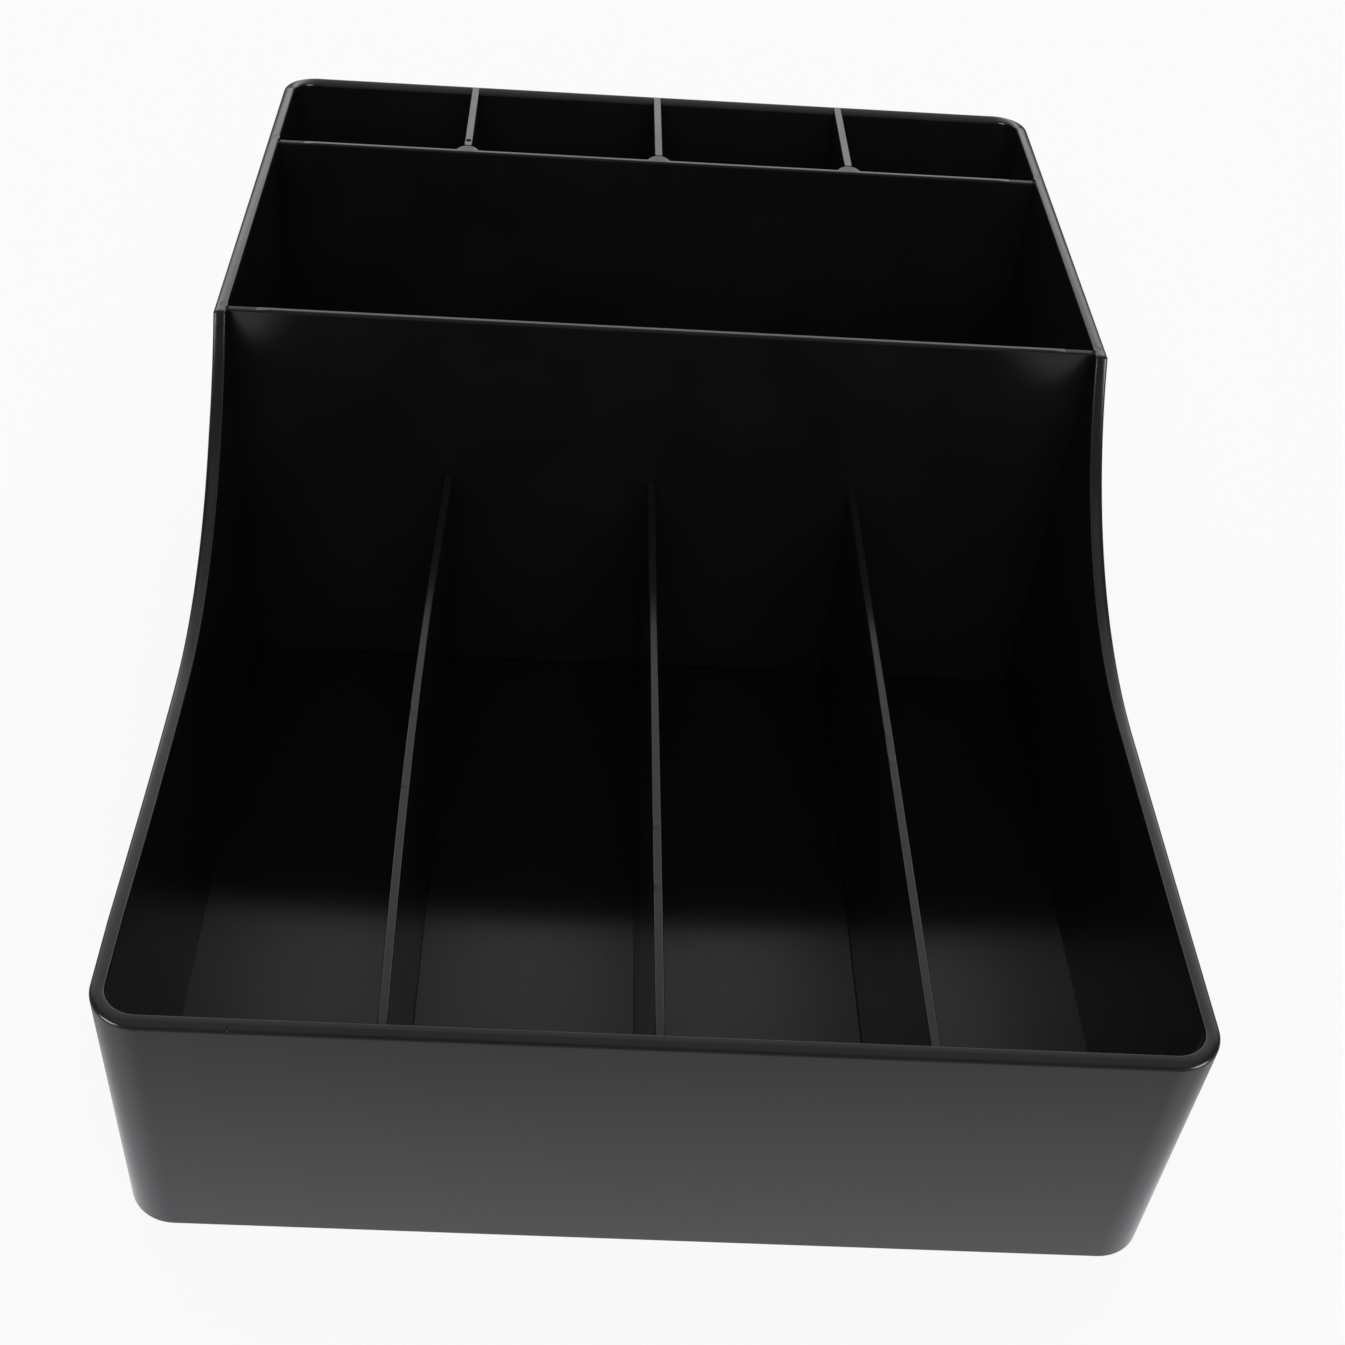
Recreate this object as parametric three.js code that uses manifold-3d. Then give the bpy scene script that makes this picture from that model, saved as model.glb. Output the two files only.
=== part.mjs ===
// Tea bag organizer: a moulded counter tray with drop-in partitions and dividers.
// Millimetres, +Z up, the low front faces -Y, the origin is on the table under the middle of the tray.
import * as THREE from 'three';
import { mergeVertices } from 'three/addons/utils/BufferGeometryUtils.js';
import Module from 'manifold-3d';

const wasm = await Module();
wasm.setup();

// Tray
const RIM_WIDTH = 280; // outside, across the low rim
const DEPTH = 415; // outside, from the low front rim to the tall rear rim
const LOW_RIM_HEIGHT = 84;
const TALL_RIM_HEIGHT = 142;
const DRAFT_DEGREES = 1.5; // the walls lean out by this much
const WALL = 3.6;
const FLOOR = 3;
const CORNER_RADIUS = 13.5; // upright corners, outside
const BASE_EDGE_RADIUS = 1.5; // under the tray, all round
const FLOOR_FILLET = 2; // inside, between floor and walls
const SWEEP_RADIUS = 141; // curve of each side rim from low to tall
const SHOULDER_SETBACK = 236.3; // from the front face to the top of that curve

// Panels
const LANES = 4; // cells side by side, in front and at the rear
const PARTITION_THICKNESS = 2.5;
const PARTITION_SETBACK = 3.2; // from the shoulder to the front partition's face
const REAR_CELL_DEPTH = 50; // at the rim, from the rear partition to the rear wall
const LONG_DIVIDER_THICKNESS = 2.5;
const SHORT_DIVIDER_THICKNESS = 2.8;
const PANEL_DROP = 1; // panel tops below the rim beside them

// Seats of the panels
const FLOOR_GROOVE = 1; // deep
const SIDE_WEB = 1.8; // wall left behind the partitions' grooves
const REAR_WEB = 1.4; // wall left behind the short dividers' grooves
const SEAT_GAP = 0.3; // under a panel and at its ends
const FACE_GAP = 0.3; // between a panel's face and the side of its groove
const GUIDE_WIDTH = 1.6; // ribs on the front wall, one on each side of a long divider
const GUIDE_DEPTH = 2.4;
const GUIDE_DROP = 6; // rib tops below the low rim
const POST_WIDTH = 8.8; // rounded posts on the rear partition, where the short dividers end
const POST_DEPTH = 2.7;
const POST_NOTCH = 0.9; // deep, in the crown of each post

// Modelling margins
const ROOT = 1; // how far a rib is let into the wall that it grows from
const CUT_MARGIN = 20; // how far a cut runs past the material
const CORNER_STEPS = 4; // half the facets of an upright corner
const SWEEP_STEPS = 14; // half the facets of a side rim's curve
const EDGE_STEPS = 2; // facets of a rounded edge

const PLASTIC = { color: 0x1c1c1e, roughness: 0.42, metalness: 0 };

// Places that the pieces share, at a height above the table
const slope = Math.tan(THREE.MathUtils.degToRad(DRAFT_DEGREES));
const outerHalf = (z) => RIM_WIDTH / 2 + (z - LOW_RIM_HEIGHT) * slope;
const outerFront = (z) => -DEPTH / 2 - (z - LOW_RIM_HEIGHT) * slope;
const outerRear = (z) => DEPTH / 2 + (z - TALL_RIM_HEIGHT) * slope;
const innerHalf = (z) => outerHalf(z) - WALL;
const innerFront = (z) => outerFront(z) + WALL;
const innerRear = (z) => outerRear(z) - WALL;

const grooveBottom = FLOOR - FLOOR_GROOVE;
const grooveWidth = (thickness) => thickness + 2 * FACE_GAP;
const tallPanelTop = TALL_RIM_HEIGHT - PANEL_DROP;
const longDividerTop = LOW_RIM_HEIGHT - PANEL_DROP;

const shoulderY = -DEPTH / 2 + SHOULDER_SETBACK;
const frontPartitionFace = shoulderY + PARTITION_SETBACK;
const frontPartitionY = frontPartitionFace + PARTITION_THICKNESS / 2;
const rearPartitionBack = innerRear(TALL_RIM_HEIGHT) - REAR_CELL_DEPTH;
const rearPartitionY = rearPartitionBack - PARTITION_THICKNESS / 2;
const postCrown = rearPartitionBack + POST_DEPTH;

// Equal front lanes on the floor, and equal rear cells at the tall rim
const longPitch = (2 * innerHalf(FLOOR) + LONG_DIVIDER_THICKNESS) / LANES;
const shortPitch = (2 * innerHalf(TALL_RIM_HEIGHT) + SHORT_DIVIDER_THICKNESS) / LANES;
const placesAcross = (pitch) => Array.from({ length: LANES - 1 }, (_, i) => (i + 1 - LANES / 2) * pitch);
const longPlaces = placesAcross(longPitch);
const shortPlaces = placesAcross(shortPitch);

// Solids for cutting and joining, and back to geometry
function solidOf(geometry) {
  geometry.deleteAttribute('normal');
  geometry.deleteAttribute('uv');
  const merged = mergeVertices(geometry);
  return new wasm.Manifold(new wasm.Mesh({
    numProp: 3,
    vertProperties: new Float32Array(merged.attributes.position.array),
    triVerts: new Uint32Array(merged.index.array),
  }));
}

function geometryOf(solid) {
  const mesh = solid.getMesh();
  const geometry = new THREE.BufferGeometry();
  geometry.setAttribute('position', new THREE.BufferAttribute(mesh.vertProperties, 3));
  geometry.setIndex(new THREE.BufferAttribute(mesh.triVerts, 1));
  geometry.computeVertexNormals();
  return geometry;
}

// Outlines
function polygon(points) {
  return new THREE.Shape(points.map(([u, v]) => new THREE.Vector2(u, v)));
}

function roundedRectangle(half, front, rear, radius) {
  const shape = new THREE.Shape();
  shape.absarc(half - radius, front + radius, radius, -Math.PI / 2, 0);
  shape.absarc(half - radius, rear - radius, radius, 0, Math.PI / 2);
  shape.absarc(-half + radius, rear - radius, radius, Math.PI / 2, Math.PI);
  shape.absarc(-half + radius, front + radius, radius, Math.PI, 1.5 * Math.PI);
  return shape;
}

// A plate whose outline is given as (y, z), centred on x
function lengthwisePlate(shape, thickness, x, curveSegments = 1) {
  const geometry = new THREE.ExtrudeGeometry(shape, { depth: thickness, bevelEnabled: false, curveSegments });
  const alongX = new THREE.Matrix4().makeBasis(
    new THREE.Vector3(0, 1, 0),
    new THREE.Vector3(0, 0, 1),
    new THREE.Vector3(1, 0, 0),
  );
  return geometry.applyMatrix4(alongX).translate(x - thickness / 2, 0, 0);
}

// A plate whose outline is given as (x, z), centred on y
function crosswisePlate(shape, thickness, y) {
  const geometry = new THREE.ExtrudeGeometry(shape, { depth: thickness, bevelEnabled: false });
  const alongMinusY = new THREE.Matrix4().makeBasis(
    new THREE.Vector3(1, 0, 0),
    new THREE.Vector3(0, 0, 1),
    new THREE.Vector3(0, -1, 0),
  );
  return geometry.applyMatrix4(alongMinusY).translate(0, y + thickness / 2, 0);
}

// A block with round upright corners and a round lower edge, whose sides lean out by the draft
function leaningBlock(inset, bottom, top, edge) {
  const front = outerFront(0) + inset;
  const rear = outerRear(0) - inset;
  const shape = roundedRectangle(outerHalf(0) - inset, front, rear, CORNER_RADIUS - inset);
  const geometry = new THREE.ExtrudeGeometry(shape, {
    depth: top - bottom - 2 * edge,
    curveSegments: CORNER_STEPS,
    bevelThickness: edge,
    bevelSize: edge,
    bevelOffset: -edge,
    bevelSegments: EDGE_STEPS,
  }).translate(0, 0, bottom + edge);
  const place = geometry.attributes.position;
  const middle = (front + rear) / 2;
  for (let i = 0; i < place.count; i += 1) {
    const lean = place.getZ(i) * slope;
    const x = place.getX(i);
    const y = place.getY(i);
    place.setXY(i, x + Math.sign(x) * lean, y + Math.sign(y - middle) * lean);
  }
  return geometry;
}

// All that lies above the rim: low in front, a rising arc on each side, tall at the rear
function aboveRim() {
  const rise = TALL_RIM_HEIGHT - LOW_RIM_HEIGHT;
  const sweep = Math.acos(1 - rise / SWEEP_RADIUS);
  const arcStart = shoulderY - SWEEP_RADIUS * Math.sin(sweep);
  const frontEnd = -DEPTH / 2 - CUT_MARGIN;
  const rearEnd = DEPTH / 2 + CUT_MARGIN;
  const ceiling = TALL_RIM_HEIGHT + 2 * CUT_MARGIN;
  const shape = new THREE.Shape();
  shape.moveTo(frontEnd, LOW_RIM_HEIGHT);
  shape.lineTo(arcStart, LOW_RIM_HEIGHT);
  shape.absarc(arcStart, LOW_RIM_HEIGHT + SWEEP_RADIUS, SWEEP_RADIUS, -Math.PI / 2, sweep - Math.PI / 2);
  shape.lineTo(rearEnd, TALL_RIM_HEIGHT);
  shape.lineTo(rearEnd, ceiling);
  shape.lineTo(frontEnd, ceiling);
  return lengthwisePlate(shape, 2 * outerHalf(ceiling) + CUT_MARGIN, 0, SWEEP_STEPS);
}

// Outline of a partition, or with no gap the outline of its grooves
function crossOutline(gap, top) {
  const bottom = grooveBottom + gap;
  const reach = WALL - SIDE_WEB - gap;
  return polygon([
    [-innerHalf(bottom) - reach, bottom],
    [innerHalf(bottom) + reach, bottom],
    [innerHalf(top) + reach, top],
    [-innerHalf(top) - reach, top],
  ]);
}

// Outline of a long divider, or with no gap the outline of its groove
function longOutline(gap, top) {
  const bottom = grooveBottom + gap;
  return polygon([
    [innerFront(bottom) + gap, bottom],
    [frontPartitionFace - gap, bottom],
    [frontPartitionFace - gap, top],
    [innerFront(top) + gap, top],
  ]);
}

// Outline of a short divider, or with no gap the outline of its grooves
function shortOutline(gap, top) {
  const bottom = grooveBottom + gap;
  const reach = WALL - REAR_WEB - gap;
  return polygon([
    [postCrown + gap, bottom],
    [innerRear(bottom) + reach, bottom],
    [innerRear(top) + reach, top],
    [postCrown + gap, top],
  ]);
}

// A low rib that grows from the front wall and the floor
function guideRib(x) {
  const bottom = FLOOR - ROOT;
  const top = LOW_RIM_HEIGHT - GUIDE_DROP;
  const outline = polygon([
    [innerFront(bottom) - ROOT, bottom],
    [innerFront(bottom) + GUIDE_DEPTH, bottom],
    [innerFront(top) + GUIDE_DEPTH, top],
    [innerFront(top) - ROOT, top],
  ]);
  return solidOf(lengthwisePlate(outline, GUIDE_WIDTH, x));
}

function trayBody() {
  let tray = solidOf(leaningBlock(0, 0, TALL_RIM_HEIGHT + CUT_MARGIN, BASE_EDGE_RADIUS))
    .subtract(solidOf(leaningBlock(WALL, FLOOR, TALL_RIM_HEIGHT + 2 * CUT_MARGIN, FLOOR_FILLET)))
    .subtract(solidOf(aboveRim()));
  const guideOffset = (grooveWidth(LONG_DIVIDER_THICKNESS) + GUIDE_WIDTH) / 2;
  for (const x of longPlaces) {
    tray = tray.add(guideRib(x - guideOffset)).add(guideRib(x + guideOffset));
  }
  const cutTop = TALL_RIM_HEIGHT + CUT_MARGIN;
  for (const y of [frontPartitionY, rearPartitionY]) {
    const groove = crosswisePlate(crossOutline(0, cutTop), grooveWidth(PARTITION_THICKNESS), y);
    tray = tray.subtract(solidOf(groove));
  }
  for (const x of longPlaces) {
    const groove = lengthwisePlate(longOutline(0, longDividerTop), grooveWidth(LONG_DIVIDER_THICKNESS), x);
    tray = tray.subtract(solidOf(groove));
  }
  for (const x of shortPlaces) {
    const groove = lengthwisePlate(shortOutline(0, cutTop), grooveWidth(SHORT_DIVIDER_THICKNESS), x);
    tray = tray.subtract(solidOf(groove));
  }
  return geometryOf(tray);
}

// A post is the part of an upright round bar that stands out of the rear partition's back
function post(x) {
  const radius = (POST_WIDTH ** 2 / 4 + POST_DEPTH ** 2) / (2 * POST_DEPTH);
  const axisY = postCrown - radius;
  const chord = Math.asin((rearPartitionY - axisY) / radius);
  const shape = new THREE.Shape().absarc(x, axisY, radius, chord, Math.PI - chord);
  const bottom = FLOOR + SEAT_GAP;
  const bar = new THREE.ExtrudeGeometry(shape, {
    depth: tallPanelTop - bottom,
    bevelEnabled: false,
    curveSegments: CORNER_STEPS * 2,
  }).translate(0, 0, bottom);
  const notchWidth = grooveWidth(SHORT_DIVIDER_THICKNESS);
  const notch = new THREE.BoxGeometry(notchWidth, 2 * POST_NOTCH, 2 * TALL_RIM_HEIGHT);
  notch.translate(x, postCrown, 0);
  return solidOf(bar).subtract(solidOf(notch));
}

function partitionPlate(y) {
  return crosswisePlate(crossOutline(SEAT_GAP, tallPanelTop), PARTITION_THICKNESS, y);
}

function rearPartition() {
  let partition = solidOf(partitionPlate(rearPartitionY));
  for (const x of shortPlaces) {
    partition = partition.add(post(x));
  }
  return geometryOf(partition);
}

function named(name, geometry) {
  const mesh = new THREE.Mesh(geometry, new THREE.MeshStandardMaterial(PLASTIC));
  mesh.name = name;
  return mesh;
}

// Names for pieces counted from the left, whatever their number
function sideName(index, count) {
  const names = { 1: ['middle'], 3: ['left', 'middle', 'right'] };
  return names[count] ? names[count][index] : String(index + 1);
}

const organizer = new THREE.Group();
organizer.add(named('tray_body', trayBody()));
organizer.add(named('front_partition', partitionPlate(frontPartitionY)));
organizer.add(named('rear_partition', rearPartition()));
longPlaces.forEach((x, i) => {
  const panel = lengthwisePlate(longOutline(SEAT_GAP, longDividerTop), LONG_DIVIDER_THICKNESS, x);
  organizer.add(named(`long_divider_${sideName(i, longPlaces.length)}`, panel));
});
shortPlaces.forEach((x, i) => {
  const panel = lengthwisePlate(shortOutline(SEAT_GAP, tallPanelTop), SHORT_DIVIDER_THICKNESS, x);
  organizer.add(named(`short_divider_${sideName(i, shortPlaces.length)}`, panel));
});

export default organizer;
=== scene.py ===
"""Tea bag organizer: the looks of the tray and its lift-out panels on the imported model. Metres, +Z up."""
import math
from collections import namedtuple

import bmesh
import bpy
from mathutils import Euler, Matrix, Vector


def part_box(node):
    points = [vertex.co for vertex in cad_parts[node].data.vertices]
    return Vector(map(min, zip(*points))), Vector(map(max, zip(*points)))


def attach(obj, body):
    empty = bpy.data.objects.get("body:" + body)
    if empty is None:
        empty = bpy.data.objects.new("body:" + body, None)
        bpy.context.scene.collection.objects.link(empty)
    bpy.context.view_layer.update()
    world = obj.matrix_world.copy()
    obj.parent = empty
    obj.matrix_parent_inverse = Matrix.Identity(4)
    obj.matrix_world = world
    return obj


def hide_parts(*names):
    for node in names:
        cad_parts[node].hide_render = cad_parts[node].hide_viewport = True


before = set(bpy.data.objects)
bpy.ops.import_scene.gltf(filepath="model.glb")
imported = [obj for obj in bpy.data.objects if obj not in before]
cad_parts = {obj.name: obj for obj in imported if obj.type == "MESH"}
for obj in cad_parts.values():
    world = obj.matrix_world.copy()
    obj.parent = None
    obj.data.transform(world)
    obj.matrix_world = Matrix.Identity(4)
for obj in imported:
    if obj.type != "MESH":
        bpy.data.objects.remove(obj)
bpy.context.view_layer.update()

MM = 0.001

# Tray sizes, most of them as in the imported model
TRAY_LOW, TRAY_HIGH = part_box("tray_body")
TALL_RIM = TRAY_HIGH.z
LOW_RIM = 84 * MM
SLOPE = math.tan(math.radians(1.5))
BASE_SLOPE = math.tan(math.radians(1.1))
WALL = 3.6 * MM
FLOOR = 3 * MM
CORNER_RADIUS = 13.5 * MM
BASE_EDGE = 0.4 * MM
FLOOR_FILLET = 0.05 * MM
FLOOR_FALL = 0.9 * MM
SWEEP_RADIUS = 141 * MM
SHOULDER_Y = TRAY_LOW.y + 236.3 * MM
GROOVE_BOTTOM = 2 * MM
SIDE_WEB = 1.8 * MM
REAR_WEB = 1.4 * MM
GAP = 0.05 * MM
LONG_GAP = 0.25 * MM
GUIDE_WIDTH = 1.6 * MM
GUIDE_DEPTH = 2.4 * MM
GUIDE_TOP = LOW_RIM - 6 * MM

# Rims of the tray: wall thickness, rounding and outward tilt at both edges, and drop from the full height
Rim = namedtuple("Rim", "wall outer_round inner_round outer_tilt inner_tilt drop")
FRONT_RIM = Rim(4.1 * MM, 1.1 * MM, 0.5 * MM, math.radians(24), math.radians(-1), -0.3 * MM)
SIDE_RIM = Rim(4 * MM, 1.1 * MM, 0.9 * MM, math.radians(20), math.radians(-6), 0)
REAR_RIM = Rim(3.8 * MM, 0.8 * MM, 0.9 * MM, math.radians(-14), math.radians(-34), 1.2 * MM)
FRONT_NICK_X = -104.6 * MM
RIM_NICK_WIDTH = 0.45 * MM
RIM_NICK_DEPTH = 0.25 * MM
SHOULDER_ROUND = 1.5 * MM
LEFT_BOW = 1 * MM
LEFT_BOW_START = TRAY_LOW.y + 34.5 * MM
LEFT_BOW_LENGTH = 176 * MM

# Panels
POST_WIDTH = 8.8 * MM
POST_GAP = 0.15 * MM
POST_FOOT_STEP = 0.005 * MM
PARTITION_EDGE = 0.8 * MM
POST_SWELL = 0.4
REAR_PARTITION_DROP = 0.3 * MM
LONG_EDGE = 0.5 * MM
SHORT_EDGE = 0.3 * MM
PANEL_FOOT = 0.3 * MM
PANEL_REACH = 0.22 * MM
STEP = 0.1 * MM
TOP_BAND = 0.9 * MM
EAR_RISE = 0.95 * MM
END_STRETCH = 9 * MM
END_FRONT_DROP = 0.22 * MM
END_BACK_DROP = 0.12 * MM
LUG_WIDTH = 4 * MM
LUG_DEPTH = 0.7 * MM
LEFT_DIVIDER_BOW = -1.8 * MM
NICK_LENGTH = 0.9 * MM
NICK_RISE = 0.25 * MM
DIVIDER_NICKS = {
    "long_divider_left": (88.4 * MM, 119.5 * MM),
    "long_divider_middle": (55 * MM, 77 * MM),
    "long_divider_right": (107 * MM, 118 * MM),
}
PIT_PLACE = 2.8 * MM
PIT_LENGTH = 2.4 * MM
PIT_MARGIN = 0.35 * MM
PIT_EDGE = 0.2 * MM
PIT_DEPTH = 0.6 * MM

# Facets
CORNER_STEPS = 14
SWEEP_STEPS = 48
LOW_STEPS = 12
SHOULDER_STEPS = 8
EDGE_STEPS = 6
BOW_STEPS = 40
LEANING_STEPS = 2
POST_STEPS = 6
SHARP_ANGLE = math.radians(32)
MERGE_DISTANCE = 0.002 * MM

LONG_NAMES = ("long_divider_left", "long_divider_middle", "long_divider_right")
SHORT_NAMES = ("short_divider_left", "short_divider_middle", "short_divider_right")
PLAN_MAP = "plan"


# Places on the leaning walls

def lean(z):
    """How far the walls stand out at a height, from where they are at the low rim."""
    return (z - LOW_RIM) * (SLOPE if z > LOW_RIM else BASE_SLOPE)


def outer_half(z):
    return TRAY_HIGH.x - lean(TALL_RIM) + lean(z)


def outer_front(z):
    return TRAY_LOW.y - lean(z)


def outer_rear(z):
    return TRAY_HIGH.y - lean(TALL_RIM) + lean(z)


def left_bow(y, z):
    """How far the left wall is bent inwards: none at its foot, most halfway along its low part."""
    share = (y - LEFT_BOW_START) / LEFT_BOW_LENGTH
    bend = math.sin(math.pi * share) if 0 < share < 1 else 0
    return LEFT_BOW * bend * min(1, z / LOW_RIM) ** 2


def wall_point(side, along, z, inset):
    """A point of a wall: inset from its outer face, at a height, along a wall or round a corner."""
    half, front, rear = outer_half(z), outer_front(z), outer_rear(z)
    if side == "front":
        return Vector((along, front + inset, z))
    if side == "rear":
        return Vector((along, rear - inset, z))
    if side == "right":
        return Vector((half - inset, along, z))
    if side == "left":
        return Vector((inset - half + left_bow(along, z), along, z))
    sign_x, sign_y = side
    centre_x = sign_x * (half - CORNER_RADIUS)
    centre_y = rear - CORNER_RADIUS if sign_y > 0 else front + CORNER_RADIUS
    reach = CORNER_RADIUS - inset
    return Vector((centre_x + reach * math.cos(along), centre_y + reach * math.sin(along), z))


def quarter(steps):
    """Cosine and sine of equal steps through a right angle."""
    turns = [math.pi / 2 * k / steps for k in range(steps + 1)]
    return [(math.cos(turn), math.sin(turn)) for turn in turns]


# Where the panels stand

def middle_of(node, axis):
    low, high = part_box(node)
    return (low[axis] + high[axis]) / 2


def size_of(node, axis):
    low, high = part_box(node)
    return high[axis] - low[axis]


def groove_edges(centre, thickness, gap=GAP):
    half = thickness / 2 + gap
    return centre - half, centre + half


PARTITION_THICKNESS = size_of("front_partition", 1)
LONG_GROOVES = [groove_edges(middle_of(node, 0), size_of(node, 0), LONG_GAP) for node in LONG_NAMES]
SHORT_GROOVES = [groove_edges(middle_of(node, 0), size_of(node, 0)) for node in SHORT_NAMES]
FRONT_GROOVE = groove_edges(middle_of("front_partition", 1), PARTITION_THICKNESS)
REAR_GROOVE = groove_edges(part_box("rear_partition")[0].y + PARTITION_THICKNESS / 2, PARTITION_THICKNESS)
SHORT_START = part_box("short_divider_middle")[0].y - GAP


def within(place, spans):
    return any(low < place < high for low, high in spans)


def floor_level(y):
    """Height of the inside floor: in the front lanes it falls a little towards the rear."""
    start, end = outer_front(FLOOR), FRONT_GROOVE[0]
    return FLOOR - FLOOR_FALL * (y - start) / (end - start) if y <= end else FLOOR


# The tray is a ring of wall sections round a floor

RimPoint = namedtuple("RimPoint", "y z normal_y normal_z")
Station = namedtuple("Station", "side along height slant rim inner rib groove")


def side_rim():
    """Points of a side rim from front to rear: a low run, an arc, a small round and a tall run."""
    arc_z = LOW_RIM + SWEEP_RADIUS
    sweep = math.acos(1 - (TALL_RIM - LOW_RIM) / SWEEP_RADIUS)
    arc_y = SHOULDER_Y - SWEEP_RADIUS * math.sin(sweep)
    round_z = TALL_RIM - SHOULDER_ROUND
    round_y = arc_y + math.sqrt((SWEEP_RADIUS + SHOULDER_ROUND) ** 2 - (arc_z - round_z) ** 2)
    meet = math.atan2(round_y - arc_y, arc_z - round_z)
    front = TRAY_LOW.y + 2 * CORNER_RADIUS
    points = []
    for k in range(LOW_STEPS):
        points.append(RimPoint(front + (arc_y - front) * k / LOW_STEPS, LOW_RIM, 0, 1))
    for k in range(SWEEP_STEPS + 1):
        turn = meet * k / SWEEP_STEPS
        sin, cos = math.sin(turn), math.cos(turn)
        points.append(RimPoint(arc_y + SWEEP_RADIUS * sin, arc_z - SWEEP_RADIUS * cos, -sin, cos))
    for k in range(1, SHOULDER_STEPS + 1):
        turn = meet * (1 - k / SHOULDER_STEPS)
        sin, cos = math.sin(turn), math.cos(turn)
        points.append(RimPoint(round_y - SHOULDER_ROUND * sin, round_z + SHOULDER_ROUND * cos, -sin, cos))
    for y in (*FRONT_GROOVE, *REAR_GROOVE, SHORT_START, TRAY_HIGH.y - 2 * CORNER_RADIUS):
        points.append(RimPoint(y, TALL_RIM, 0, 1))
    return points


def cross_breaks():
    """Places across the tray where the front wall, the rear wall or the floor changes."""
    end = outer_half(0) - 2 * CORNER_RADIUS
    breaks = {-end, end}
    breaks |= {FRONT_NICK_X - RIM_NICK_WIDTH, FRONT_NICK_X, FRONT_NICK_X + RIM_NICK_WIDTH}
    breaks |= {place for groove in LONG_GROOVES + SHORT_GROOVES for place in groove}
    for low, high in LONG_GROOVES:
        breaks |= {low - GUIDE_WIDTH, high + GUIDE_WIDTH}
    return sorted(breaks)


RIM_POINTS = side_rim()
CROSS_BREAKS = cross_breaks()
GUIDES = [(low - GUIDE_WIDTH, low) for low, high in LONG_GROOVES]
GUIDES += [(high, high + GUIDE_WIDTH) for low, high in LONG_GROOVES]


def cross_wall(side):
    """Stations of the front or rear wall from left to right, two for each stretch between breaks."""
    height, rim = (LOW_RIM, FRONT_RIM) if side == "front" else (TALL_RIM, REAR_RIM)
    stations = []
    for low, high in zip(CROSS_BREAKS, CROSS_BREAKS[1:]):
        middle = (low + high) / 2
        inner, rib, groove = rim.wall, 0, False
        if side == "front":
            rib = GUIDE_DEPTH if within(middle, GUIDES) else 0
            groove = within(middle, LONG_GROOVES)
        elif within(middle, SHORT_GROOVES):
            inner, groove = REAR_WEB, True
        for x in (low, high):
            nick = RIM_NICK_DEPTH if side == "front" and x == FRONT_NICK_X else 0
            stations.append(Station(side, x, height - nick, (0, 1), rim, inner, rib, groove))
    return stations


def side_wall(side):
    """Stations of a side wall from front to rear, two for each stretch between rim points."""
    stations = []
    for start, end in zip(RIM_POINTS, RIM_POINTS[1:]):
        groove = within((start.y + end.y) / 2, (FRONT_GROOVE, REAR_GROOVE))
        inner = SIDE_WEB if groove else SIDE_RIM.wall
        for point in (start, end):
            slant = (point.normal_y, point.normal_z)
            stations.append(Station(side, point.y, point.z, slant, SIDE_RIM, inner, 0, groove))
    return stations


def corner(sign_x, sign_y, start, first, last):
    """Stations round an upright corner, a right angle from the start; one rim passes into the next."""
    height = TALL_RIM if sign_y > 0 else LOW_RIM
    stations = []
    for k in range(CORNER_STEPS + 1):
        share = k / CORNER_STEPS
        rim = Rim(*(one + (other - one) * share for one, other in zip(first, last)))
        turn = start + math.pi / 2 * share
        stations.append(Station((sign_x, sign_y), turn, height, (0, 1), rim, rim.wall, 0, False))
    return stations


def rim_section(rim):
    """Inset and depth of the rim in three arcs, from the outer face over its crowned top to the inner."""
    outer, inner = math.sin(rim.outer_tilt), math.sin(rim.inner_tilt)
    crown = (rim.wall - rim.outer_round * (1 - outer) - rim.inner_round * (1 + inner)) / (outer - inner)
    arcs = (
        (rim.outer_round, math.pi / 2, rim.outer_tilt),
        (crown, rim.outer_tilt, rim.inner_tilt),
        (rim.inner_round, rim.inner_tilt, -math.pi / 2),
    )
    points = [(0, 0)]
    for radius, first, last in arcs:
        inset, depth = points[-1]
        for k in range(1, EDGE_STEPS + 1):
            turn = first + (last - first) * k / EDGE_STEPS
            across = radius * (math.sin(first) - math.sin(turn))
            points.append((inset + across, depth + radius * (math.cos(first) - math.cos(turn))))
    top = min(depth for inset, depth in points) - rim.drop
    return [(inset, depth - top) for inset, depth in points]


def cut_rim_section(rim, inner):
    """The rim's section, less all that a groove takes away further in than the inner place."""
    full = rim_section(rim)
    if inner == rim.wall:
        return full
    kept = [point for point in full if point[0] < inner - STEP]
    return kept + [(inner, kept[-1][1])] * (len(full) - len(kept))


def wall_section(at):
    """Points of the wall at a station, from under the base over the rim to the edge of the floor."""
    points = []
    for cos, sin in quarter(EDGE_STEPS):
        points.append(wall_point(at.side, at.along, BASE_EDGE * (1 - cos), BASE_EDGE * (1 - sin)))
    slant_y, slant_z = at.slant
    for inset, depth in cut_rim_section(at.rim, at.inner):
        along = at.along - depth * slant_y
        points.append(wall_point(at.side, along, at.height - depth * slant_z, inset))
    ground = floor_level(at.along) if at.side in ("left", "right") else FLOOR
    points.append(wall_point(at.side, at.along, GUIDE_TOP, at.inner))
    points.append(wall_point(at.side, at.along, GUIDE_TOP, at.inner + at.rib))
    for cos, sin in quarter(EDGE_STEPS):
        if at.groove:
            foot = (GROOVE_BOTTOM, at.inner)
        elif at.rib:
            foot = (ground, at.inner + at.rib)
        else:
            foot = (ground + FLOOR_FILLET * (1 - sin), at.inner + FLOOR_FILLET * (1 - cos))
        points.append(wall_point(at.side, at.along, *foot))
    return points


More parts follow.
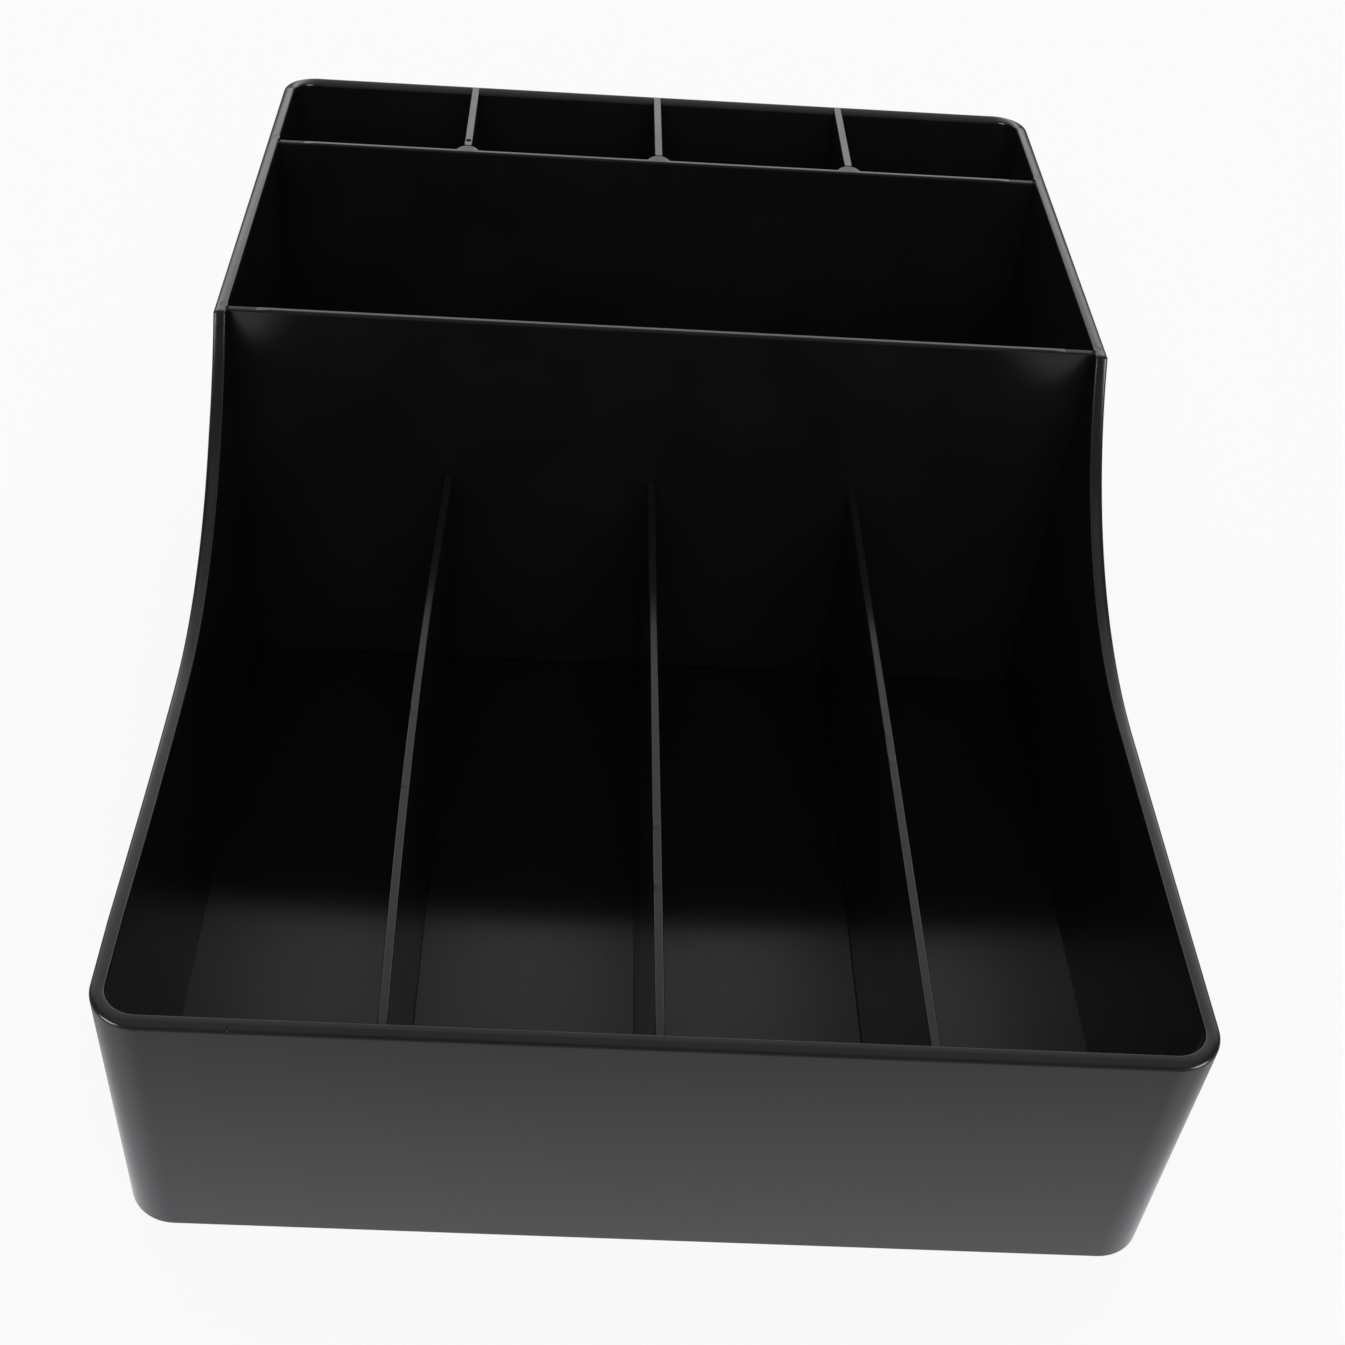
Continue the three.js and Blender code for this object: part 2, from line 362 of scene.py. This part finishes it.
def in_groove(x, y):
    """Whether the middle of a stretch of the inside floor lies in a panel's groove."""
    if within(y, (FRONT_GROOVE, REAR_GROOVE)):
        return True
    return within(x, LONG_GROOVES) if y < FRONT_GROOVE[0] else y > SHORT_START and within(x, SHORT_GROOVES)


def stretches(breaks):
    """Each stretch's ends with its middle, so that every break comes twice."""
    ends = []
    for low, high in zip(breaks, breaks[1:]):
        ends += [(low, (low + high) / 2), (high, (low + high) / 2)]
    return ends


def add_floor(bm, feet):
    """The inside floor with its grooves, joined to the feet of the walls and corners all round."""
    columns = stretches(CROSS_BREAKS)
    rows = stretches([point.y for point in RIM_POINTS])
    first = len(bm.faces)
    grid = []
    for left, right, (y, middle_y) in zip(feet["left"], feet["right"], rows):
        inside = []
        for x, middle_x in columns:
            height = GROOVE_BOTTOM if in_groove(middle_x, middle_y) else floor_level(y)
            inside.append(bm.verts.new((x, y, height)))
        grid.append([left, *inside, right])
    add_strips(bm, grid)
    add_strips(bm, [feet["front"], grid[0][1:-1]])
    add_strips(bm, [grid[-1][1:-1], feet["rear"]])
    bm.faces.new([*feet["front_left"], feet["front"][0], grid[0][1], grid[0][0]])
    bm.faces.new([feet["front"][-1], *feet["front_right"], grid[0][-1], grid[0][-2]])
    bm.faces.new([grid[-1][-2], grid[-1][-1], *feet["rear_right"], feet["rear"][-1]])
    bm.faces.new([grid[-1][0], grid[-1][1], feet["rear"][0], *feet["rear_left"]])
    for face in list(bm.faces)[first:]:
        face.material_index = 1


def add_strips(bm, lines, closed=False):
    """Quads between each line of points and the next."""
    for near, far in zip(lines, lines[1:] + lines[:1] if closed else lines[1:]):
        for k in range(len(near) - 1):
            bm.faces.new((near[k], near[k + 1], far[k + 1], far[k]))


def tray_mesh():
    parts = {
        "front": cross_wall("front"),
        "front_right": corner(1, -1, -math.pi / 2, FRONT_RIM, SIDE_RIM),
        "right": side_wall("right"),
        "rear_right": corner(1, 1, 0, SIDE_RIM, REAR_RIM),
        "rear": cross_wall("rear")[::-1],
        "rear_left": corner(-1, 1, math.pi / 2, REAR_RIM, SIDE_RIM),
        "left": side_wall("left")[::-1],
        "front_left": corner(-1, -1, math.pi, SIDE_RIM, FRONT_RIM),
    }
    bm = bmesh.new()
    walls = {part: [[bm.verts.new(p) for p in wall_section(s)] for s in parts[part]] for part in parts}
    ring = [line for part in parts for line in walls[part]]
    add_strips(bm, ring, closed=True)
    bm.faces.new([line[0] for line in reversed(ring)])
    feet = {part: [line[-1] for line in walls[part]] for part in parts}
    feet["rear"].reverse()
    feet["left"].reverse()
    add_floor(bm, feet)
    plan = bm.loops.layers.uv.new(PLAN_MAP)
    for face in bm.faces:
        for loop in face.loops:
            loop[plan].uv = loop.vert.co.xy
    return bm


# Panels are pairs of plan lines carried up through levels

def inset_outline(outline, distance):
    """The outline moved inwards by a distance, corners kept square."""
    moved = []
    for before, here, after in zip(outline[-1:] + outline[:-1], outline, outline[1:] + outline[:1]):
        first = (here - before).normalized()
        second = (after - here).normalized()
        inward = Vector((-first.y, first.x)) + Vector((-second.y, second.x))
        moved.append(here + inward * distance / (1 + first.dot(second)))
    return moved


def panel_levels(low, high, edge):
    """Heights and insets of a panel: a bevelled foot, and a top whose edges are rounded."""
    levels = [(low, PANEL_FOOT), (low + PANEL_FOOT, 0), (high - TOP_BAND, 0)]
    levels += [(high - edge * (1 - sin), edge * (1 - cos)) for cos, sin in quarter(EDGE_STEPS)]
    return levels


def panel_mesh(near, far, levels, place):
    """A closed plate between two matching plan lines; place puts a plan point at a height."""
    bm = bmesh.new()
    outline = near + far[::-1]
    rings = []
    for height, inset in levels:
        points = inset_outline(outline, inset)
        rings.append([bm.verts.new(place(point, height)) for point in points])
    add_strips(bm, [ring + ring[:1] for ring in rings])
    for ring in (rings[0], rings[-1]):
        add_strips(bm, [ring[:len(near)], ring[:len(near) - 1:-1]])
    return bm


def strip_lines(thickness, places):
    """The right and left plan lines of a straight strip along Y."""
    return [[Vector((side * thickness / 2, y)) for y in sorted(places)] for side in (1, -1)]


def near_top(z, top):
    """Nothing below the top band of a panel, rising to one at its top."""
    return max(0, 1 - (top - z) / TOP_BAND)


def long_divider(node, bow, nicks):
    low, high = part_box(node)
    x = middle_of(node, 0)
    start = low.y + FRONT_RIM.wall - WALL
    length = high.y - start
    places = {start + length * k / BOW_STEPS for k in range(BOW_STEPS + 1)}
    for nick in nicks:
        places |= {nick - NICK_LENGTH, nick, nick + NICK_LENGTH}
    right, left = strip_lines(high.x - low.x, places)

    def place(point, z):
        share = (point.y - start) / length
        lift = (z - low.z) / (high.z - low.z)
        shift = (outer_front(z) - outer_front(high.z)) * max(0, 1 - share * BOW_STEPS / LEANING_STEPS)
        nicked = point.x < 0 and any(abs(point.y - nick) < STEP for nick in nicks)
        rise = NICK_RISE * near_top(z, high.z) if nicked else 0
        bend = bow * math.sin(math.pi * share) * lift ** 2
        return Vector((x + point.x - rise + bend, point.y + shift, z + rise))

    return panel_mesh(right, left, panel_levels(low.z, high.z, LONG_EDGE), place)


def short_divider(node, pitted):
    low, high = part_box(node)
    x = middle_of(node, 0)
    middle = middle_of(node, 1)
    start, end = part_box("rear_partition")[1].y + POST_GAP, high.y + PANEL_REACH
    pit = start + PIT_PLACE
    right, left = strip_lines(high.x - low.x, {start, pit, pit + PIT_LENGTH, middle, end})

    def place(point, z):
        shift = outer_rear(high.z) - outer_rear(z) if point.y > middle else 0
        return Vector((x + point.x, point.y - shift, z))

    bm = panel_mesh(right, left, panel_levels(low.z, high.z, SHORT_EDGE), place)
    if pitted:
        spot = Vector((x, pit + PIT_LENGTH / 2, high.z))
        face = min(bm.faces, key=lambda face: (face.calc_center_median() - spot).length)
        bmesh.ops.recalc_face_normals(bm, faces=bm.faces)
        bmesh.ops.inset_individual(bm, faces=[face], thickness=PIT_MARGIN)
        bmesh.ops.inset_individual(bm, faces=[face], thickness=PIT_EDGE, depth=-PIT_DEPTH)
    return bm


def post_points(x, back, crown):
    """A rounded post on a partition's back, from left to right."""
    depth = crown - back
    radius = (POST_WIDTH ** 2 / 4 + depth ** 2) / (2 * depth)
    reach = math.asin(POST_WIDTH / 2 / radius)
    points = []
    for k in range(-POST_STEPS, POST_STEPS + 1):
        turn = reach * k / POST_STEPS
        points.append(Vector((x + radius * math.sin(turn), crown - radius * (1 - math.cos(turn)))))
    return points


def partition(node, posts, drop):
    """A cross panel: ears that fill the grooves, slanted ends with a small lug, and posts on its back."""
    low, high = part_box(node)
    top = high.z - drop
    front, back = low.y, low.y + PARTITION_THICKNESS
    wall = outer_half(top) - SIDE_RIM.wall
    end = high.x + PANEL_REACH
    lug = wall - END_STRETCH
    post_foot = FLOOR + GAP
    breaks = [lug - LUG_WIDTH, lug, lug + STEP, wall - STEP, wall, end]
    far = [Vector((-x, back)) for x in reversed(breaks)]
    for name in posts:
        far += post_points(middle_of(name, 0), back, high.y)
    far += [Vector((x, back)) for x in breaks]
    near = [Vector((point.x, front)) for point in far]

    def place(point, z):
        x, y = point
        reach = abs(x)
        in_front = y < (front + back) / 2
        share = near_top(z, top)
        rise = 0
        if reach > wall - STEP / 2:
            rise = EAR_RISE + drop
            reach = end if reach > wall + STEP else reach
            x = math.copysign(reach, x)
            y = front if in_front else back
        elif reach > lug + STEP / 2:
            rise = -END_FRONT_DROP if in_front else -END_BACK_DROP
        elif reach > lug - STEP / 2 and in_front:
            y -= LUG_DEPTH * share
        elif y > back:
            rise = drop * (y - back) / (high.y - back)
            y += (y - back) * POST_SWELL * share ** 2
        y = min(y, back) if z < post_foot else y
        shift = outer_half(top) - outer_half(z) if reach > wall - 2 * STEP else 0
        return Vector((x - math.copysign(shift, x), y, z + rise * share))

    levels = panel_levels(low.z, top, PARTITION_EDGE)
    if posts:
        levels[2:2] = [(post_foot - POST_FOOT_STEP, 0), (post_foot, 0)]
    return panel_mesh(near, far, levels, place)


# Objects

def piece(name, bm, materials, body, node):
    """A finished mesh object that rides on a body and stands for a node."""
    bmesh.ops.remove_doubles(bm, verts=bm.verts, dist=MERGE_DISTANCE)
    bmesh.ops.dissolve_degenerate(bm, edges=bm.edges, dist=MERGE_DISTANCE)
    bmesh.ops.recalc_face_normals(bm, faces=bm.faces)
    mesh = bpy.data.meshes.new(name)
    bm.to_mesh(mesh)
    bm.free()
    mesh.shade_smooth()
    mesh.set_sharp_from_angle(angle=SHARP_ANGLE)
    made = bpy.data.objects.new(name, mesh)
    bpy.context.scene.collection.objects.link(made)
    for material in materials:
        mesh.materials.append(material)
    normals = made.modifiers.new("even_normals", "WEIGHTED_NORMAL")
    normals.keep_sharp = True
    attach(made, body)
    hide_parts(node)


# Black plastic

NOISE_DETAIL = 3
NOISE_ROUGHNESS = 0.55
NOISE_LOW, NOISE_HIGH = 0.3, 0.7
CLOUD_SCALE = 28
CLOUD_DEPTH = 0.05 * MM
CLOUD_STRENGTH = 0.2
GRAIN_SCALE = 2400
GRAIN_DEPTH = 0.006 * MM
STREAK_SCALE = 2600
STREAK_STRETCH = (1, 0.03, 1)
STREAK_DEPTH = 0.004 * MM
GRAIN_STRENGTH = 0.5


def add_node(tree, kind, **settings):
    """A shader node with some of its inputs set by name."""
    node = tree.nodes.new(kind)
    for name, value in settings.items():
        node.inputs[name].default_value = value
    return node


def map_range(tree, value, old, new):
    """A value carried over from one range to another."""
    span = {"From Min": old[0], "From Max": old[1], "To Min": new[0], "To Max": new[1]}
    node = add_node(tree, "ShaderNodeMapRange", **span)
    tree.links.new(value, node.inputs["Value"])
    return node.outputs["Result"]


def noise(tree, scale, stretch=(1, 1, 1)):
    """Noise in the piece's own metres; a stretch below one draws it out along that axis."""
    place = tree.nodes.new("ShaderNodeTexCoord")
    mapping = add_node(tree, "ShaderNodeMapping", Scale=stretch)
    grain = add_node(tree, "ShaderNodeTexNoise", Scale=scale, Detail=NOISE_DETAIL, Roughness=NOISE_ROUGHNESS)
    tree.links.new(place.outputs["Object"], mapping.inputs["Vector"])
    tree.links.new(mapping.outputs["Vector"], grain.inputs["Vector"])
    return grain.outputs["Fac"]


def colours(tree, value, dark, light):
    ramp = tree.nodes.new("ShaderNodeValToRGB")
    ramp.color_ramp.elements[0].position = NOISE_LOW
    ramp.color_ramp.elements[0].color = (*dark, 1)
    ramp.color_ramp.elements[1].position = NOISE_HIGH
    ramp.color_ramp.elements[1].color = (*light, 1)
    tree.links.new(value, ramp.inputs["Fac"])
    return ramp.outputs["Color"]


def spread(tree, value, low, high):
    return map_range(tree, value, (NOISE_LOW, NOISE_HIGH), (low, high))


def bump(tree, value, depth, strength, under=None):
    node = add_node(tree, "ShaderNodeBump", Strength=strength, Distance=depth)
    tree.links.new(value, node.inputs["Height"])
    if under is not None:
        tree.links.new(under, node.inputs["Normal"])
    return node.outputs["Normal"]


def plastic(name, dark, light, roughness, refraction, streaks):
    """Satin black plastic: faint clouds, uneven gloss, a fine grain and, on the floor, drawn-out streaks."""
    material = bpy.data.materials.new(name)
    material.use_nodes = True
    tree = material.node_tree
    shader = tree.nodes["Principled BSDF"]
    shader.inputs["IOR"].default_value = refraction
    clouds = noise(tree, CLOUD_SCALE)
    grain = noise(tree, STREAK_SCALE, STREAK_STRETCH) if streaks else noise(tree, GRAIN_SCALE)
    pattern = grain if streaks else clouds
    tree.links.new(colours(tree, pattern, dark, light), shader.inputs["Base Color"])
    tree.links.new(spread(tree, pattern, *roughness), shader.inputs["Roughness"])
    waves = bump(tree, clouds, CLOUD_DEPTH, CLOUD_STRENGTH)
    depth = STREAK_DEPTH if streaks else GRAIN_DEPTH
    tree.links.new(bump(tree, grain, depth, GRAIN_STRENGTH, waves), shader.inputs["Normal"])
    if streaks:
        shader.inputs["Anisotropic"].default_value = 1
        across = tree.nodes.new("ShaderNodeTangent")
        across.direction_type = "UV_MAP"
        across.uv_map = PLAN_MAP
        tree.links.new(across.outputs["Tangent"], shader.inputs["Tangent"])
    return material


def tray_plastic():
    dark, light = (0.0077, 0.0078, 0.0085), (0.0101, 0.0103, 0.0111)
    return plastic("tray_black_plastic", dark, light, roughness=(0.17, 0.23), refraction=1.56, streaks=False)


def floor_plastic():
    # Partly real, partly painted: the drawn-out streaks are the floor's own finish, and its darker colour
    # than the walls' plastic is painted shade at the bottom of the cells
    dark, light = (0.0038, 0.0038, 0.0038), (0.0062, 0.0062, 0.0060)
    return plastic("tray_floor_plastic", dark, light, roughness=(0.21, 0.25), refraction=1.48, streaks=True)


def panel_plastic():
    dark, light = (0.0074, 0.0074, 0.0077), (0.0098, 0.0098, 0.0103)
    return plastic("panel_black_plastic", dark, light, roughness=(0.17, 0.23), refraction=1.5, streaks=False)


def build_pieces():
    piece("tray", tray_mesh(), [tray_plastic(), floor_plastic()], "tray", "tray_body")
    looks = [panel_plastic()]
    panels = {
        "front_partition": partition("front_partition", (), 0),
        "rear_partition": partition("rear_partition", SHORT_NAMES, REAR_PARTITION_DROP),
    }
    for node in LONG_NAMES:
        nicks = [TRAY_LOW.y + distance for distance in DIVIDER_NICKS[node]]
        panels[node] = long_divider(node, LEFT_DIVIDER_BOW if node.endswith("left") else 0, nicks)
    for node in SHORT_NAMES:
        panels[node] = short_divider(node, node.endswith("left"))
    for node, bm in panels.items():
        piece(node + "_panel", bm, looks, node, node)


# Studio

FLOOR_SIZE = 60
FLOOR_COLOUR = (0.93, 0.93, 0.93, 1)
FLOOR_GLOW = 0.9
# Painted pool of light: for reflected rays the floor glows, brightest next to the tray and fading with
# distance, faster at the sides behind the front corners, to put painted reflections on the tray's faces and
# corners
FLOOR_FADE = 95 * MM
FLOOR_FADED = 0.38
SIDE_FADE = 4
SIDE_FADE_START = TRAY_LOW.y + 40 * MM
SIDE_FADE_END = TRAY_LOW.y + 90 * MM
# Cool tint of the floor's painted glow, seen only in reflections on the tray
FLOOR_PAINTED_GLOW_COLOUR = (0.96, 0.96, 1, 1)
WORLD_LEVEL = 0.14
LAMP_AIM = Vector((0, 0, TALL_RIM / 2))
LAMP_DISTANCE = 3
WARM = (1, 0.985, 0.95)
NEUTRAL = (1, 1, 1)
Lamp = namedtuple("Lamp", "name elevation azimuth width height level colour lights mirrored")
LAMPS = (
    Lamp("lowest_rear_panel", 23.5, 0, 7, 0.42, 2.1, WARM, True, True),
    Lamp("low_rear_panel", 31, 0, 7, 0.37, 1.5, WARM, True, True),
    Lamp("high_rear_panel", 44, 0, 7, 0.98, 0.72, WARM, True, True),
    Lamp("top_rear_panel", 64, 0, 4.8, 1.1, 0.4, WARM, True, True),
    Lamp("overhead_panel", 90, 0, 4.8, 1.5, 0.2, NEUTRAL, True, True),
    Lamp("left_card", 14, 240, 1.3, 1.6, 7, NEUTRAL, False, True),
    Lamp("right_card", 14, 120, 1.3, 1.6, 7, NEUTRAL, False, True),
    Lamp("overhead_fill", 90, 0, 3, 3, 0.3, NEUTRAL, True, False),
    Lamp("front_fill", 45, 180, 3, 3, 1.6, NEUTRAL, True, False),
)
CAMERA_PLACE = Vector((-30.71, -503.76, 455.77)) * MM
CAMERA_TURN_DEGREES = (49.446, -3.232, 0.2605)
CAMERA_LENS = 51.785
CAMERA_SHIFT = 0.0425
CAMERA_SENSOR = 36
CAMERA_NEAR = 0.01


def build_camera():
    data = bpy.data.cameras.new("camera")
    data.lens = CAMERA_LENS
    data.sensor_width = CAMERA_SENSOR
    data.shift_x = CAMERA_SHIFT
    data.clip_start = CAMERA_NEAR
    camera = bpy.data.objects.new("camera", data)
    bpy.context.scene.collection.objects.link(camera)
    camera.location = CAMERA_PLACE
    camera.rotation_euler = [math.radians(turn) for turn in CAMERA_TURN_DEGREES]
    bpy.context.scene.camera = camera


def build_lamp(lamp):
    """A soft panel lamp that faces the object; its level is the brightness of its face."""
    data = bpy.data.lights.new(lamp.name, "AREA")
    data.shape = "RECTANGLE"
    data.size = lamp.width
    data.size_y = lamp.height
    data.energy = math.pi * lamp.width * lamp.height * lamp.level
    data.color = lamp.colour
    made = bpy.data.objects.new(lamp.name, data)
    bpy.context.scene.collection.objects.link(made)
    turn = (math.radians(90 - lamp.elevation), 0, math.radians(180 - lamp.azimuth))
    made.rotation_euler = turn
    made.location = LAMP_AIM + Euler(turn).to_matrix() @ Vector((0, 0, LAMP_DISTANCE))
    made.visible_camera = False
    made.visible_diffuse = lamp.lights
    made.visible_glossy = lamp.mirrored


def math_node(tree, operation, first, second):
    """A math node on two values, each a socket or a number."""
    node = tree.nodes.new("ShaderNodeMath")
    node.operation = operation
    for socket, value in zip(node.inputs, (first, second)):
        if isinstance(value, (int, float)):
            socket.default_value = value
        else:
            tree.links.new(value, socket)
    return node.outputs["Value"]


def distance_from_tray(tree):
    """How far a place on the floor is from the tray, which sets the painted pool of light seen in
    reflections; behind its front corners the sides count for more.
    """
    place = tree.nodes.new("ShaderNodeTexCoord")
    split = tree.nodes.new("ShaderNodeSeparateXYZ")
    tree.links.new(place.outputs["Object"], split.inputs["Vector"])
    across = math_node(tree, "ABSOLUTE", split.outputs["X"], 0)
    along = math_node(tree, "ABSOLUTE", split.outputs["Y"], 0)
    beside = math_node(tree, "SUBTRACT", across, outer_half(0))
    before = math_node(tree, "SUBTRACT", along, -outer_front(0))
    weight = map_range(tree, split.outputs["Y"], (SIDE_FADE_START, SIDE_FADE_END), (1, SIDE_FADE))
    return math_node(tree, "MAXIMUM", math_node(tree, "MULTIPLY", beside, weight), before)


def mix_shaders(tree, share, first, second):
    """Two shaders mixed by a share, which is a socket or a number."""
    node = tree.nodes.new("ShaderNodeMixShader")
    if isinstance(share, (int, float)):
        node.inputs["Fac"].default_value = share
    else:
        tree.links.new(share, node.inputs["Fac"])
    tree.links.new(first, node.inputs[1])
    tree.links.new(second, node.inputs[2])
    return node.outputs["Shader"]


def floor_white():
    """White floor that keeps the object's shadow; in reflections it shows a painted pool of light, a cool
    glow of its own that fades away from the tray.
    """
    material = bpy.data.materials.new("floor_white")
    material.use_nodes = True
    tree = material.node_tree
    tree.nodes.clear()
    paper = add_node(tree, "ShaderNodeBsdfDiffuse", Color=FLOOR_COLOUR).outputs["BSDF"]
    bright = tree.nodes.new("ShaderNodeEmission").outputs["Emission"]
    # Painted reflection: a cool glow that fades away from the tray, shown to glossy and transmission rays
    # only
    painted_reflection_glow = add_node(tree, "ShaderNodeEmission", Color=FLOOR_PAINTED_GLOW_COLOUR)
    fade = map_range(tree, distance_from_tray(tree), (0, FLOOR_FADE), (1, FLOOR_FADED))
    tree.links.new(fade, painted_reflection_glow.inputs["Strength"])
    rays = tree.nodes.new("ShaderNodeLightPath")
    mirrored = math_node(tree, "MAXIMUM", rays.outputs["Is Glossy Ray"], rays.outputs["Is Transmission Ray"])
    pale = mix_shaders(tree, FLOOR_GLOW, paper, bright)
    shown = mix_shaders(tree, rays.outputs["Is Camera Ray"], paper, pale)
    shown = mix_shaders(tree, mirrored, shown, painted_reflection_glow.outputs["Emission"])
    output = tree.nodes.new("ShaderNodeOutputMaterial")
    tree.links.new(shown, output.inputs["Surface"])
    return material


def build_floor():
    bm = bmesh.new()
    bmesh.ops.create_grid(bm, x_segments=1, y_segments=1, size=FLOOR_SIZE / 2)
    mesh = bpy.data.meshes.new("floor")
    bm.to_mesh(mesh)
    bm.free()
    mesh.materials.append(floor_white())
    ground = bpy.data.objects.new("floor", mesh)
    bpy.context.scene.collection.objects.link(ground)


def build_lights():
    world = bpy.data.worlds.new("studio")
    bpy.context.scene.world = world
    world.use_nodes = True
    shade = world.node_tree.nodes["Background"]
    shade.inputs["Color"].default_value = (1, 1, 1, 1)
    shade.inputs["Strength"].default_value = WORLD_LEVEL
    for lamp in LAMPS:
        build_lamp(lamp)
    bpy.context.scene.view_settings.view_transform = "Standard"


build_pieces()
build_camera()
build_floor()
build_lights()
